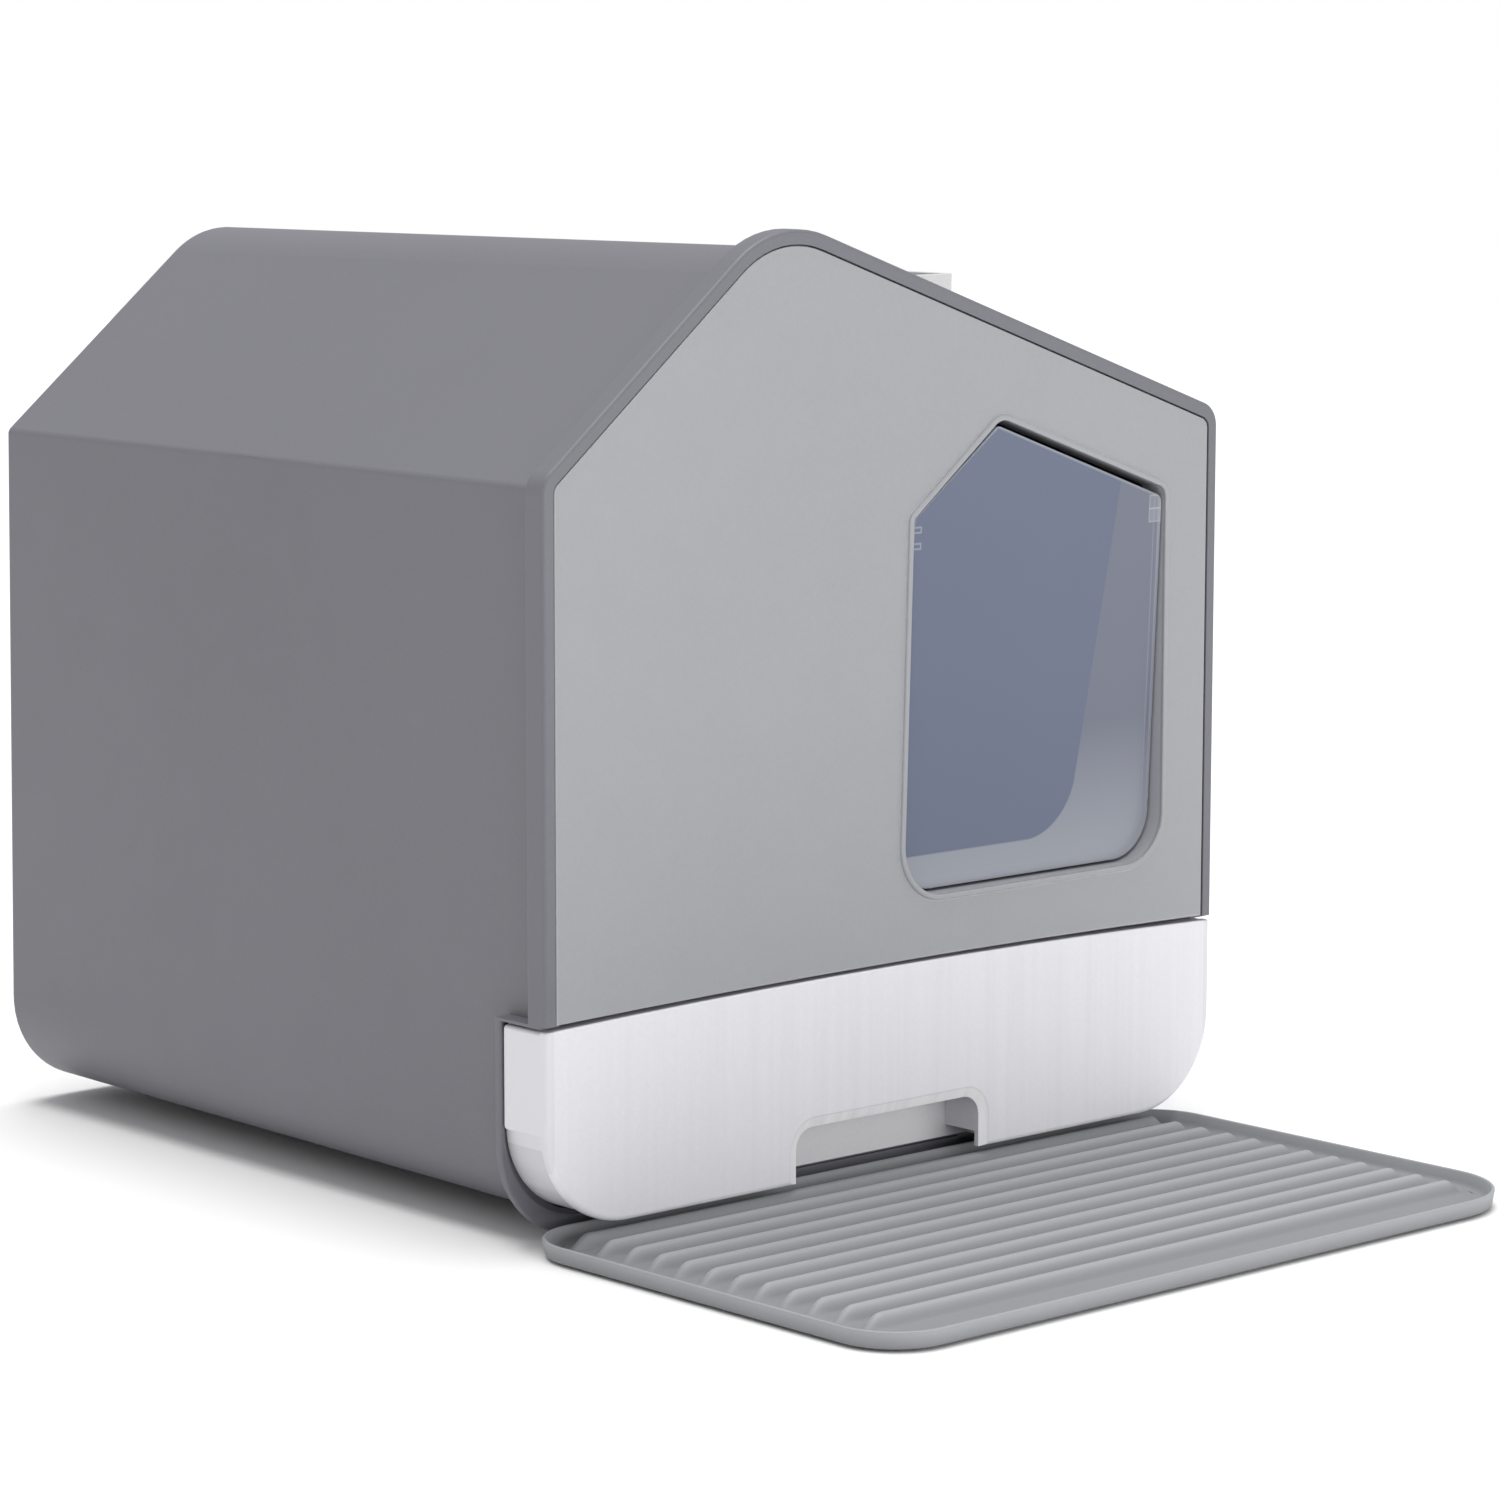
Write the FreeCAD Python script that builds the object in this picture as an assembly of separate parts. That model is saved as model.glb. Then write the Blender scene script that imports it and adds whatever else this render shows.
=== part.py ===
import FreeCAD, Part
import math
import os

from FreeCAD import Vector

# House-shaped enclosed litter box, in millimetres. It is drawn with +Z up, Y = 0 on the front face,
# +Y to the back, Z = 0 on the floor and X = 0 half way between the hood's side borders. When written
# out it is moved so that the origin is the middle of the whole footprint on the floor.

# hood border, the outermost house outline at the front
BORDER_HALF = 211.0
BORDER_BOTTOM = 0.5
LEFT_EAVE = 339.7
RIGHT_EAVE = 350.5
RIDGE_X = -75.0
RIDGE_Z = 450.0
BORDER_DEPTH = 13.0
BORDER_RADII = (45.5, 45.5, 12.0, 56.0, 12.0)
RIM_FACE = 6.0
# rim width on the bottom, right, right slope, left slope and left
RIM_FACES = (RIM_FACE, RIM_FACE, 6.8, RIM_FACE, RIM_FACE)
REBATE_ROUND = 0.35
RIM_ROUND = 1.8
# hood skin behind the border
SKIN_INSET = 8.0
SKIN = 2.8
HOOD_DEPTH = 433.0
REAR_HALF = 192.8
REAR_FLOOR_HALF = 197.2
REAR_FLOOR_RADIUS = 45.0
REAR_RIDGE_DROP = 3.0
REAR_ROUND = 3.2
# drawer mouth
MOUTH_TOP = 103.5
MOUTH_FRONT = 31.0
MOUTH_REAR = 35.0
LEDGE_BOTTOM = 102.4
LEDGE_TOP = 103.6
SOCKET_BACK = 33.0
SOCKET_HALF = 208.8
SOCKET_BOTTOM = 9.4
SOCKET_RADIUS = 44.0
# front panel and its window
PANEL_GAP = 0.7
PANEL_FRONT = 0.4
PANEL_THICK = 3.2
PANEL_ROUND = 0.55
PANEL_END_Z = 103.4
PANEL_MID_Z = 106.4
WINDOW = ((3.0, 135.0), (174.5, 135.0), (174.5, 314.2), (64.0, 353.0), (8.3, 309.8))
WINDOW_RADII = (24.0, 24.0, 6.0, 9.0, 3.0)
BEAD_WIDTH = 2.9
BEAD_HEIGHT = 1.4
SLEEVE = 1.8
SLEEVE_DEPTH = 13.0
# swing flap
FLAP_GAPS = (1.3, 1.3, 3.8, 0.9, 1.3)
FLAP_RADII = (23.0, 23.0, 5.0, 3.5, 3.0)
FLAP_FRONT = 0.8
FLAP_THICK = 3.0
FLAP_TILT = 2.55
HINGE_Y = 5.3
HINGE_Z = 300.0
PIN_R = 1.3
PIN_CLEARANCE = 0.06
# litter drawer
FRONT_HALF = 210.5
FRONT_BOTTOM = 11.4
FRONT_TOP = 101.0
FRONT_CROWN = 104.8
FRONT_PLATE = 4.5
FRONT_ROUND = 2.4
FRONT_RADIUS = 46.0
WING_BOTTOM = 54.0
WING_DEPTH = 30.0
WING_ROUND = 1.8
BOX_HALF = 207.0
BOX_BOTTOM = 12.5
BOX_DEPTH = 32.0
BOX_WALL = 3.0
GRIP_LEFT = -62.0
GRIP_RIGHT = 54.5
GRIP_TOP = 36.5
GRIP_RADIUS = 10.0
GRIP_BEVEL = 5.2
GRIP_BEVEL_DEPTH = 2.0
TUB_FRONT = 24.5
TUB_REAR = 424.0
TUB_FRONT_HALF = 198.5
TUB_REAR_HALF = 188.0
TUB_BOTTOM = 12.65
TUB_TOP = 96.0
TUB_WALL = 2.6
TUB_RADIUS = 33.0
SCREW_POINTS = ((-180.0, 70.0), (-110.0, 70.0), (110.0, 70.0), (180.0, 70.0))
# step mat
MAT_LEFT = -213.0
MAT_RIGHT = 193.0
MAT_FRONT = -218.0
MAT_REAR = 20.0
MAT_TOP = 9.0
MAT_DRAFT = 1.5
MAT_RADII = (30.0, 44.0, 30.0, 30.0)
MAT_PAD = 1.0
MAT_FLOOR = 2.5
RIDGES = 12
RIDGE_FIRST_Y = 4.0
RIDGE_PITCH = 16.8
RIDGE_HEIGHT = 4.8
RIDGE_R = 6.0
RIDGE_X0 = -190.0
RIDGE_X1 = 172.0
# scoop and its holder on the right side wall
HOLDER_X0 = 202.0
HOLDER_X1 = 249.0
HOLDER_Y0 = 219.0
HOLDER_Y1 = 309.0
HOLDER_Z0 = 156.0
HOLDER_Z1 = 406.0
HOLDER_WALL = 2.0
HOLDER_SCREWS = ((264.0, 228.0), (264.0, 300.0))


def box(x0, x1, y0, y1, z0, z1):
    return Part.makeBox(x1 - x0, y1 - y0, z1 - z0, Vector(x0, y0, z0))


def rod(x, y, z, r, length, direction):
    return Part.makeCylinder(r, length, Vector(x, y, z), direction)


def offset(points, distance):
    """Move every side of a counter-clockwise outline inwards (one distance, or one per side)."""
    n = len(points)
    if isinstance(distance, (int, float)):
        distance = [distance] * n
    lines = []
    for i in range(n):
        (ax, az), (bx, bz) = points[i], points[(i + 1) % n]
        length = math.hypot(bx - ax, bz - az)
        nx, nz = -(bz - az) / length, (bx - ax) / length
        lines.append((nx, nz, nx * ax + nz * az + distance[i]))
    moved = []
    for i in range(n):
        a1, b1, c1 = lines[i - 1]
        a2, b2, c2 = lines[i]
        det = a1 * b2 - a2 * b1
        moved.append(((c1 * b2 - c2 * b1) / det, (a1 * c2 - a2 * c1) / det))
    return moved


def outline(points, radii, y, plane="XZ"):
    """Closed wire through the outline's corners, each rounded by its radius."""
    n = len(points)

    def place(p):
        if plane == "XZ":
            return Vector(p[0], y, p[1])
        return Vector(p[0], p[1], y)

    corners = []
    for i in range(n):
        px, pz = points[i]
        ax, az = points[i - 1]
        bx, bz = points[(i + 1) % n]
        la, lb = math.hypot(ax - px, az - pz), math.hypot(bx - px, bz - pz)
        ua, ub = ((ax - px) / la, (az - pz) / la), ((bx - px) / lb, (bz - pz) / lb)
        half = math.acos(ua[0] * ub[0] + ua[1] * ub[1]) / 2
        reach = radii[i] / math.tan(half)
        sx, sz = ua[0] + ub[0], ua[1] + ub[1]
        norm = math.hypot(sx, sz)
        mid = radii[i] / math.sin(half) - radii[i]
        corners.append(((px + ua[0] * reach, pz + ua[1] * reach),
                        (px + sx / norm * mid, pz + sz / norm * mid),
                        (px + ub[0] * reach, pz + ub[1] * reach)))
    edges = []
    for i in range(n):
        start, middle, end = corners[i]
        edges.append(Part.Arc(place(start), place(middle), place(end)).toShape())
        edges.append(Part.makeLine(place(end), place(corners[(i + 1) % n][0])))
    return Part.Wire(edges)


def edges_at(shape, y):
    """Edges that lie wholly in the plane Y = y."""
    return [e for e in shape.Edges if abs(e.BoundBox.YMin - y) < 0.01 and abs(e.BoundBox.YMax - y) < 0.01]


def edges_on(shape, wire):
    """Edges that lie on a wire."""
    return [e for e in shape.Edges if all(Part.Vertex(e.valueAt(t)).distToShape(wire)[0] < 0.01 for t in
                                          (e.FirstParameter, (e.FirstParameter + e.LastParameter) / 2))]


def prism(points, radii, y0, y1, front=0.0, rear=0.0):
    """Outline pushed from y0 to y1, its front and rear edges rounded by the radii given."""
    solid = Part.Face(outline(points, radii, y0)).extrude(Vector(0, y1 - y0, 0))
    for radius, y in ((front, y0), (rear, y1)):
        if radius:
            solid = solid.makeFillet(radius, edges_at(solid, y))
    return solid


def taper(wire_a, wire_b):
    return Part.makeLoft([wire_a, wire_b], True, True)


def shrink(radii, distance):
    return [max(r - distance, 0.8) for r in radii]


def u_outline(half, bottom, top):
    return [(-half, bottom), (half, bottom), (half, top), (-half, top)]


def border_points():
    return [(-BORDER_HALF, BORDER_BOTTOM), (BORDER_HALF, BORDER_BOTTOM), (BORDER_HALF, RIGHT_EAVE),
            (RIDGE_X, RIDGE_Z), (-BORDER_HALF, LEFT_EAVE)]


def skin_points(inset, y):
    """House outline of the hood skin at depth y: it narrows towards the back, less so at the floor."""
    front = offset(border_points(), SKIN_INSET)
    t = y / HOOD_DEPTH
    points = []
    for i, (x, z) in enumerate(front):
        rear_half = REAR_FLOOR_HALF if i < 2 else REAR_HALF
        drop = REAR_RIDGE_DROP if i == 3 else 0.0
        points.append((x * (1 - t * (1 - rear_half / front[1][0])), z - t * drop))
    return offset(points, inset)


def skin_wire(inset, y):
    """Outline of the skin at depth y; its two floor corners grow rounder towards the back."""
    radii = shrink(BORDER_RADII, SKIN_INSET + inset)
    growth = (REAR_FLOOR_RADIUS - BORDER_RADII[0] + SKIN_INSET) * y / HOOD_DEPTH
    radii[0] += growth
    radii[1] += growth
    return outline(skin_points(inset, y), radii, y)


def skin_x(y, z):
    """Outer face of the hood's right side wall at depth y and height z."""
    (low_x, low_z), (high_x, high_z) = skin_points(0.0, y)[1:3]
    return low_x + (high_x - low_x) * (z - low_z) / (high_z - low_z)


def skin_block():
    """The hood skin as a full block, before it is hollowed."""
    return taper(skin_wire(0.0, PANEL_FRONT + PANEL_THICK + 0.2), skin_wire(0.0, HOOD_DEPTH))


def clip_spots():
    """Places along the border's inside where the panel snaps in: x, z and direction of the side."""
    points = offset(border_points(), SKIN_INSET + SKIN)
    spots = []
    for i, fractions in ((1, (0.42, 0.75)), (2, (0.35, 0.72)), (3, (0.5,)), (4, (0.25, 0.58))):
        (ax, az), (bx, bz) = points[i], points[(i + 1) % 5]
        for f in fractions:
            angle = math.degrees(math.atan2(bz - az, bx - ax))
            spots.append((ax + (bx - ax) * f, az + (bz - az) * f, angle))
    return spots


def at_spot(shape, spot):
    """Turn a shape drawn with the wall along +X and the inside towards +Z onto a clip place."""
    shape.rotate(Vector(0, 0, 0), Vector(0, 1, 0), -spot[2])
    shape.translate(Vector(spot[0], 0, spot[1]))
    return shape


def hood_shell():
    rebate = PANEL_FRONT + PANEL_THICK + 0.2
    skin = skin_block()
    skin = skin.makeFillet(REAR_ROUND, edges_at(skin, HOOD_DEPTH))
    # border round the front, with the rebate that takes the front panel flush with the rim
    rim_points = offset(border_points(), RIM_FACES)
    rim_radii = shrink(BORDER_RADII, RIM_FACE)
    border = prism(border_points(), BORDER_RADII, 0.0, BORDER_DEPTH, front=RIM_ROUND, rear=RIM_ROUND)
    border = border.cut(prism(rim_points, rim_radii, -5.0, rebate))
    border = border.makeFillet(REBATE_ROUND, edges_on(border, outline(rim_points, rim_radii, 0.0)))
    border = border.common(box(-300, 300, -5, 50, MOUTH_TOP, 500))
    # ledge over the drawer mouth and the lip round it, set back from the front
    ledge = prism(border_points(), BORDER_RADII, rebate, MOUTH_REAR)
    ledge = ledge.common(box(-300, 300, 0, 50, LEDGE_BOTTOM, LEDGE_TOP))
    lip = prism(border_points(), BORDER_RADII, MOUTH_FRONT, MOUTH_REAR, front=1.2, rear=1.2)
    lip = lip.common(box(-300, 300, 0, 50, -5, LEDGE_TOP))
    mouth = box(-300, 300, -5, MOUTH_FRONT, -5, MOUTH_TOP)
    solid = skin.cut(mouth).fuse([border, ledge, lip])
    hollow = taper(skin_wire(SKIN, -5.0), skin_wire(SKIN, HOOD_DEPTH - SKIN))
    solid = solid.cut(hollow)
    # socket for the drawer's box
    socket = u_outline(SOCKET_HALF, SOCKET_BOTTOM, 300.0)
    socket_solid = prism(socket, (SOCKET_RADIUS, SOCKET_RADIUS, 1.0, 1.0), MOUTH_FRONT - 1, SOCKET_BACK)
    solid = solid.cut(socket_solid.common(box(-300, 300, 0, SOCKET_BACK, 0, MOUTH_TOP)))
    # moulding recess in the lower lip
    solid = solid.cut(box(70, 92, MOUTH_FRONT - 1, MOUTH_FRONT + 3, 2.5, 9.5))
    for spot in clip_spots():
        solid = solid.cut(at_spot(box(-6.4, 6.4, 9.8, 14.2, -1.3, 0.9), spot))
    return solid.removeSplitter()


def cross_rail():
    y = 5.0
    half = skin_points(SKIN, 12.0)[1][0] - 0.3
    rail = box(-half, half, y, 7.5, 107.0, 121.0)
    flange = box(-half, half, y, 12.5, 107.0, 109.5)
    return rail.fuse(flange).removeSplitter()


def bowed_edge(end_z, middle_z, far_z):
    """Slab between a gently bowed edge across the front and a level line at far_z."""
    half = BORDER_HALF + 5
    left, right = Vector(-half, -5, end_z), Vector(half, -5, end_z)
    low_left, low_right = Vector(-half, -5, far_z), Vector(half, -5, far_z)
    wire = Part.Wire([Part.Arc(left, Vector(0, -5, middle_z), right).toShape(), Part.makeLine(right, low_right),
                      Part.makeLine(low_right, low_left), Part.makeLine(low_left, left)])
    return Part.Face(wire).extrude(Vector(0, 60, 0))


def front_panel():
    points = offset(border_points(), [face + PANEL_GAP for face in RIM_FACES])
    radii = shrink(BORDER_RADII, RIM_FACE + PANEL_GAP)
    y1 = PANEL_FRONT + PANEL_THICK
    panel = prism(points, radii, PANEL_FRONT, y1)
    # lower edge bows up slightly in the middle
    panel = panel.cut(bowed_edge(PANEL_END_Z, PANEL_MID_Z, -10))
    panel = panel.makeFillet(PANEL_ROUND, edges_at(panel, PANEL_FRONT))
    # raised bead round the window
    bead_top = PANEL_FRONT - BEAD_HEIGHT
    bead_points = offset(WINDOW, -BEAD_WIDTH)
    bead_radii = [r + BEAD_WIDTH for r in WINDOW_RADII]
    window = prism(WINDOW, WINDOW_RADII, -10, 20)
    bead = prism(bead_points, bead_radii, bead_top, y1, front=1.1).cut(window)
    bead = bead.makeFillet(0.9, edges_on(bead, outline(WINDOW, WINDOW_RADII, bead_top)))
    # return wall behind the window's edge, drilled for the hinge pins
    sleeve_points = offset(WINDOW, -SLEEVE)
    sleeve = prism(sleeve_points, [r + SLEEVE for r in WINDOW_RADII], y1 - 1.0, SLEEVE_DEPTH, rear=0.5)
    sleeve = sleeve.cut(window)
    panel = panel.cut(window).fuse([bead, sleeve])
    return panel.cut(rod(-10, HINGE_Y, HINGE_Z, PIN_R + 0.1, 200, Vector(1, 0, 0))).removeSplitter()


def panel_clips():
    y0 = PANEL_FRONT + PANEL_THICK
    clips = []
    for spot in clip_spots():
        tongue = box(-6, 6, y0, 15.0, 0.6, 2.3)
        nib = box(-6, 6, 10.2, 13.8, -0.9, 0.6)
        clips.append(at_spot(tongue.fuse(nib).removeSplitter(), spot))
    return Part.makeCompound(clips)


def tilt(shape):
    """Hang the flap as its weight leaves it: lower edge slightly inwards."""
    shape.rotate(Vector(0, HINGE_Y, HINGE_Z), Vector(1, 0, 0), FLAP_TILT)
    return shape


def flap_door():
    y1 = FLAP_FRONT + FLAP_THICK
    door = prism(offset(WINDOW, FLAP_GAPS), FLAP_RADII, FLAP_FRONT, y1, front=0.9, rear=0.6)
    for x in (10.4, 165.4):
        ear = box(x, x + 7.0, y1 - 0.5, HINGE_Y + 3.6, HINGE_Z - 5.3, HINGE_Z + 5.3)
        door = door.fuse(ear)
    door = door.cut(rod(0, HINGE_Y, HINGE_Z, PIN_R + PIN_CLEARANCE, 200, Vector(1, 0, 0)))
    return tilt(door.removeSplitter())


def hinge_lug(x0, x1):
    y0 = PANEL_FRONT + PANEL_THICK
    lug = box(x0, x1, y0, HINGE_Y + 4.0, HINGE_Z - 7.0, HINGE_Z + 7.0)
    return lug.cut(rod(x0 - 1, HINGE_Y, HINGE_Z, PIN_R + 0.02, x1 - x0 + 2, Vector(1, 0, 0)))


def hinge_pin(x0, x1):
    return rod(x0, HINGE_Y, HINGE_Z, PIN_R, x1 - x0, Vector(1, 0, 0))


def drawer_front():
    above = bowed_edge(FRONT_TOP, FRONT_CROWN, 200)
    plate = prism(u_outline(FRONT_HALF, FRONT_BOTTOM, 120), (FRONT_RADIUS, FRONT_RADIUS, 3.2, 3.2),
                  0.0, FRONT_PLATE, front=FRONT_ROUND).cut(above)
    plate = plate.makeFillet(1.0, [e for e in plate.Edges if e.BoundBox.ZMin > FRONT_TOP - 0.5
                                   and e.BoundBox.YMin < FRONT_ROUND - 0.5])
    wings = prism(u_outline(FRONT_HALF, WING_BOTTOM, FRONT_TOP), (2.0, 2.0, 1.9, 1.9), 2.9, WING_DEPTH,
                  rear=WING_ROUND)
    body = prism(u_outline(BOX_HALF, BOX_BOTTOM, 120), (43.0, 43.0, 1.0, 1.0), 2.9, BOX_DEPTH).cut(above)
    body = body.cut(box(-300, 300, WING_DEPTH, 50, FRONT_TOP - 1.0, 120))
    front = plate.fuse(wings).fuse(body)
    hollow = u_outline(BOX_HALF - BOX_WALL, BOX_BOTTOM + BOX_WALL, FRONT_TOP - BOX_WALL)
    front = front.cut(prism(hollow, (40.0, 40.0, 1.0, 1.0), FRONT_PLATE, 60))
    seat = u_outline(TUB_FRONT_HALF + 0.3, TUB_BOTTOM - 0.3, FRONT_TOP - BOX_WALL)
    front = front.cut(prism(seat, (TUB_RADIUS, TUB_RADIUS, 1.0, 1.0), TUB_FRONT - 0.1, 60))
    # ribs beside the grip and bosses for the screws
    for x in (GRIP_LEFT - 3.0, GRIP_RIGHT):
        front = front.fuse(box(x, x + 3.0, FRONT_PLATE - 1, TUB_FRONT - 0.2, 18.4, FRONT_TOP - 1))
    for x, z in SCREW_POINTS:
        front = front.fuse(rod(x, FRONT_PLATE - 1, z, 4.5, TUB_FRONT - 0.1 - FRONT_PLATE + 1, Vector(0, 1, 0)))
        front = front.cut(rod(x, 9.0, z, 1.55, 30, Vector(0, 1, 0)))
    grip = [(GRIP_LEFT, 0.0), (GRIP_RIGHT, 0.0), (GRIP_RIGHT, GRIP_TOP), (GRIP_LEFT, GRIP_TOP)]
    grip_radii = (1.0, 1.0, GRIP_RADIUS, GRIP_RADIUS)
    front = front.cut(prism(grip, grip_radii, -5, 60))
    # wide bevel round the grip, and the gap beside it under the right-hand rib
    wide = outline(offset(grip, -GRIP_BEVEL), [r + GRIP_BEVEL for r in grip_radii], -0.01)
    front = front.cut(taper(wide, outline(grip, grip_radii, GRIP_BEVEL_DEPTH)))
    front = front.cut(box(GRIP_RIGHT - 1, GRIP_RIGHT + 15, FRONT_PLATE + 0.1, 60, 0, 18.2))
    return front.removeSplitter()


def tub_outline(half, inset, y, top):
    points = u_outline(half - inset, TUB_BOTTOM + inset, top)
    return outline(points, (TUB_RADIUS - inset, TUB_RADIUS - inset, 0.8, 0.8), y)


def litter_tub():
    outer = taper(tub_outline(TUB_FRONT_HALF, 0, TUB_FRONT, TUB_TOP),
                  tub_outline(TUB_REAR_HALF, 0, TUB_REAR, TUB_TOP))
    inner = taper(tub_outline(TUB_FRONT_HALF, TUB_WALL, TUB_FRONT + TUB_WALL, TUB_TOP + 40),
                  tub_outline(TUB_REAR_HALF, TUB_WALL, TUB_REAR - TUB_WALL, TUB_TOP + 40))
    tub = outer.cut(inner)
    # lugs on the rear corners that meet the stops before the drawer comes right out
    for side in (-1, 1):
        x0, x1 = sorted((side * 176.0, side * 187.4))
        tub = tub.fuse(box(x0, x1, TUB_REAR - 12, TUB_REAR - 0.5, TUB_TOP - 3, TUB_TOP + 4.5))
    for x, z in SCREW_POINTS:
        tub = tub.cut(rod(x, TUB_FRONT - 5, z, 1.55, 12, Vector(0, 1, 0)))
    return tub.removeSplitter()


def front_screws():
    screws = []
    for x, z in SCREW_POINTS:
        shank = rod(x, 10.0, z, 1.5, TUB_FRONT + TUB_WALL - 10.0, Vector(0, 1, 0))
        head = rod(x, TUB_FRONT + TUB_WALL, z, 3.6, 2.0, Vector(0, 1, 0))
        cross = box(x - 2.2, x + 2.2, TUB_FRONT + TUB_WALL + 1.0, 40, z - 0.4, z + 0.4)
        cross = cross.fuse(box(x - 0.4, x + 0.4, TUB_FRONT + TUB_WALL + 1.0, 40, z - 2.2, z + 2.2))
        screws.append(shank.fuse(head).cut(cross).removeSplitter())
    return Part.makeCompound(screws)


def runner(side):
    floor = BORDER_BOTTOM + SKIN_INSET + SKIN
    x0, x1 = sorted((side * 140.0, side * 152.0))
    strip = box(x0, x1, 40.0, 420.0, floor, TUB_BOTTOM - 0.15)
    nose = [e for e in strip.Edges if abs(e.CenterOfMass.y - 40.0) < 0.1 and e.CenterOfMass.z > floor + 1.1]
    return strip.makeChamfer(0.8, nose)


def drawer_stops():
    stops = []
    for side in (-1, 1):
        wall = skin_points(SKIN, 57.0)[1][0] - 0.3
        x0, x1 = sorted((side * 178.0, side * wall))
        stop = box(x0, x1, 45.0, 57.0, TUB_TOP + 1.5, TUB_TOP + 9.0)
        gusset = box(*sorted((side * (wall - 2.5), side * wall)), 45.0, 57.0, TUB_TOP + 8.0, TUB_TOP + 22.0)
        stops.append(stop.fuse(gusset).removeSplitter())
    return Part.makeCompound(stops)


def feet():
    top = BORDER_BOTTOM + SKIN_INSET
    spots = ((-148.0, 62.0), (148.0, 62.0), (-86.0, 388.0), (86.0, 388.0))
    pads = []
    for x, y in spots:
        foot = Part.makeCone(11.0, 13.0, top, Vector(x, y, 0), Vector(0, 0, 1))
        pads.append(foot)
    return Part.makeCompound(pads)


def step_mat():
    points = [(MAT_LEFT, MAT_FRONT), (MAT_RIGHT, MAT_FRONT), (MAT_RIGHT, MAT_REAR), (MAT_LEFT, MAT_REAR)]

    def ring(inset, z):
        return outline(offset(points, inset), [r - inset for r in MAT_RADII], z, "XY")

    mat = taper(ring(MAT_DRAFT, MAT_PAD), ring(0.0, MAT_TOP))
    mat = mat.cut(taper(ring(MAT_DRAFT + 4.0, MAT_FLOOR), ring(1.8, MAT_TOP + 0.01)))
    sink = RIDGE_R - RIDGE_HEIGHT
    above = box(-300, 300, -300, 100, MAT_FLOOR - 0.5, 50)
    for i in range(RIDGES):
        y = RIDGE_FIRST_Y - i * RIDGE_PITCH
        z = MAT_FLOOR - sink
        bar = rod(RIDGE_X0, y, z, RIDGE_R, RIDGE_X1 - RIDGE_X0, Vector(1, 0, 0))
        for x in (RIDGE_X0, RIDGE_X1):
            bar = bar.fuse(Part.makeSphere(RIDGE_R, Vector(x, y, z)))
        mat = mat.fuse(bar.common(above))
    return mat.removeSplitter()


def mat_pads():
    spots = [(x, y) for x in (-170.0, -10.0, 150.0) for y in (-185.0, -12.0)]
    return Part.makeCompound([rod(x, y, 0, 9.0, MAT_PAD, Vector(0, 0, 1)) for x, y in spots])


def holder_bracket():
    y0, y1 = 236.0, 292.0

    def section(z):
        corners = [Vector(skin_x(y0, z), y0, z), Vector(HOLDER_X0, y0, z),
                   Vector(HOLDER_X0, y1, z), Vector(skin_x(y1, z), y1, z)]
        return Part.makePolygon(corners + [corners[0]])

    plate = taper(section(206.0), section(322.0))
    for y, z in HOLDER_SCREWS:
        plate = plate.cut(rod(185, y, z, 2.05, 20, Vector(1, 0, 0)))
    return plate


def scoop_holder():
    points = [(HOLDER_X0, HOLDER_Y0), (HOLDER_X1, HOLDER_Y0), (HOLDER_X1, HOLDER_Y1), (HOLDER_X0, HOLDER_Y1)]
    outer = Part.Face(outline(points, (4.0, 4.0, 4.0, 4.0), HOLDER_Z0, "XY"))
    inner = Part.Face(outline(offset(points, HOLDER_WALL), (2.0, 2.0, 2.0, 2.0), HOLDER_Z0 + HOLDER_WALL, "XY"))
    cup = outer.extrude(Vector(0, 0, HOLDER_Z1 - HOLDER_Z0))
    cup = cup.makeFillet(2.0, [e for e in cup.Edges if e.BoundBox.ZMax < HOLDER_Z0 + 0.01])
    cup = cup.cut(inner.extrude(Vector(0, 0, 300)))
    cup = cup.makeFillet(0.7, [e for e in cup.Edges if e.BoundBox.ZMin > HOLDER_Z1 - 0.01])
    for y, z in HOLDER_SCREWS:
        cup = cup.cut(rod(HOLDER_X0 - 3, y, z, 2.05, 8, Vector(1, 0, 0)))
    return cup


def holder_screws():
    screws = []
    for y, z in HOLDER_SCREWS:
        x = HOLDER_X0 + HOLDER_WALL
        shank = rod(x - 5.4, y, z, 2.0, 5.4, Vector(1, 0, 0))
        head = rod(x, y, z, 3.8, 2.0, Vector(1, 0, 0))
        cross = box(x + 1.0, x + 4, y - 2.4, y + 2.4, z - 0.45, z + 0.45)
        cross = cross.fuse(box(x + 1.0, x + 4, y - 0.45, y + 0.45, z - 2.4, z + 2.4))
        screws.append(shank.fuse(head).cut(cross).removeSplitter())
    return Part.makeCompound(screws)


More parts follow.
